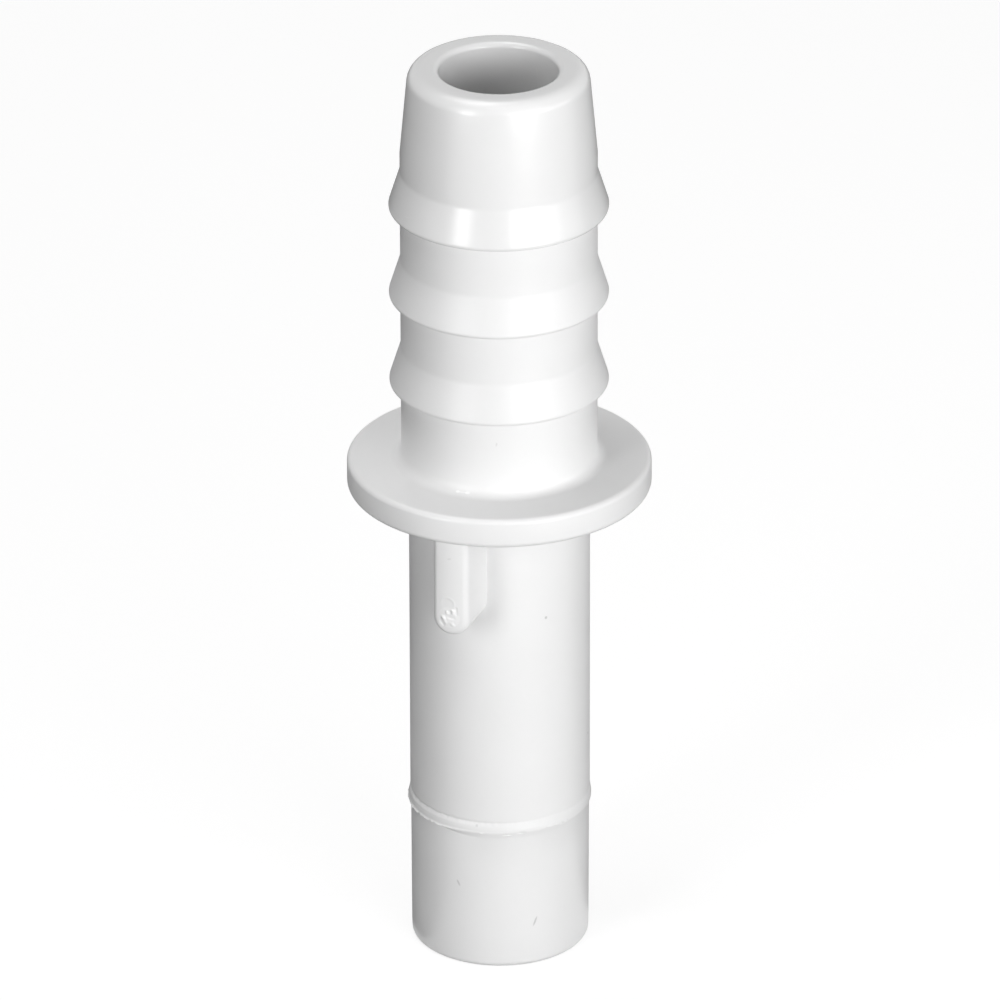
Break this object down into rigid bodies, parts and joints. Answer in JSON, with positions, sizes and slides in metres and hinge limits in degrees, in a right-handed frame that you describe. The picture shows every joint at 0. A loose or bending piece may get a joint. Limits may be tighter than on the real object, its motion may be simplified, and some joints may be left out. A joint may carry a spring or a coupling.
{
  "type": "hose stem",
  "caption": "Moulded stem that joins a barbed hose to a push-in tube fitting, with a stop collar and a short key under it.",
  "frame": {"origin": "on the axis, in the plane of the spigot's free end, which it stands on", "axes": "+Z along the axis from the spigot to the tip of the hose tail; -Y out through the key under the collar"},
  "size_m": [0.016, 0.016, 0.0502],
  "materials": {
    "moulded_plastic": "white injection-moulded plastic with a soft satin gloss"
  },
  "bodies": {
    "root": {"hose_stem": "moulded_plastic"}
  },
  "joints": []
}
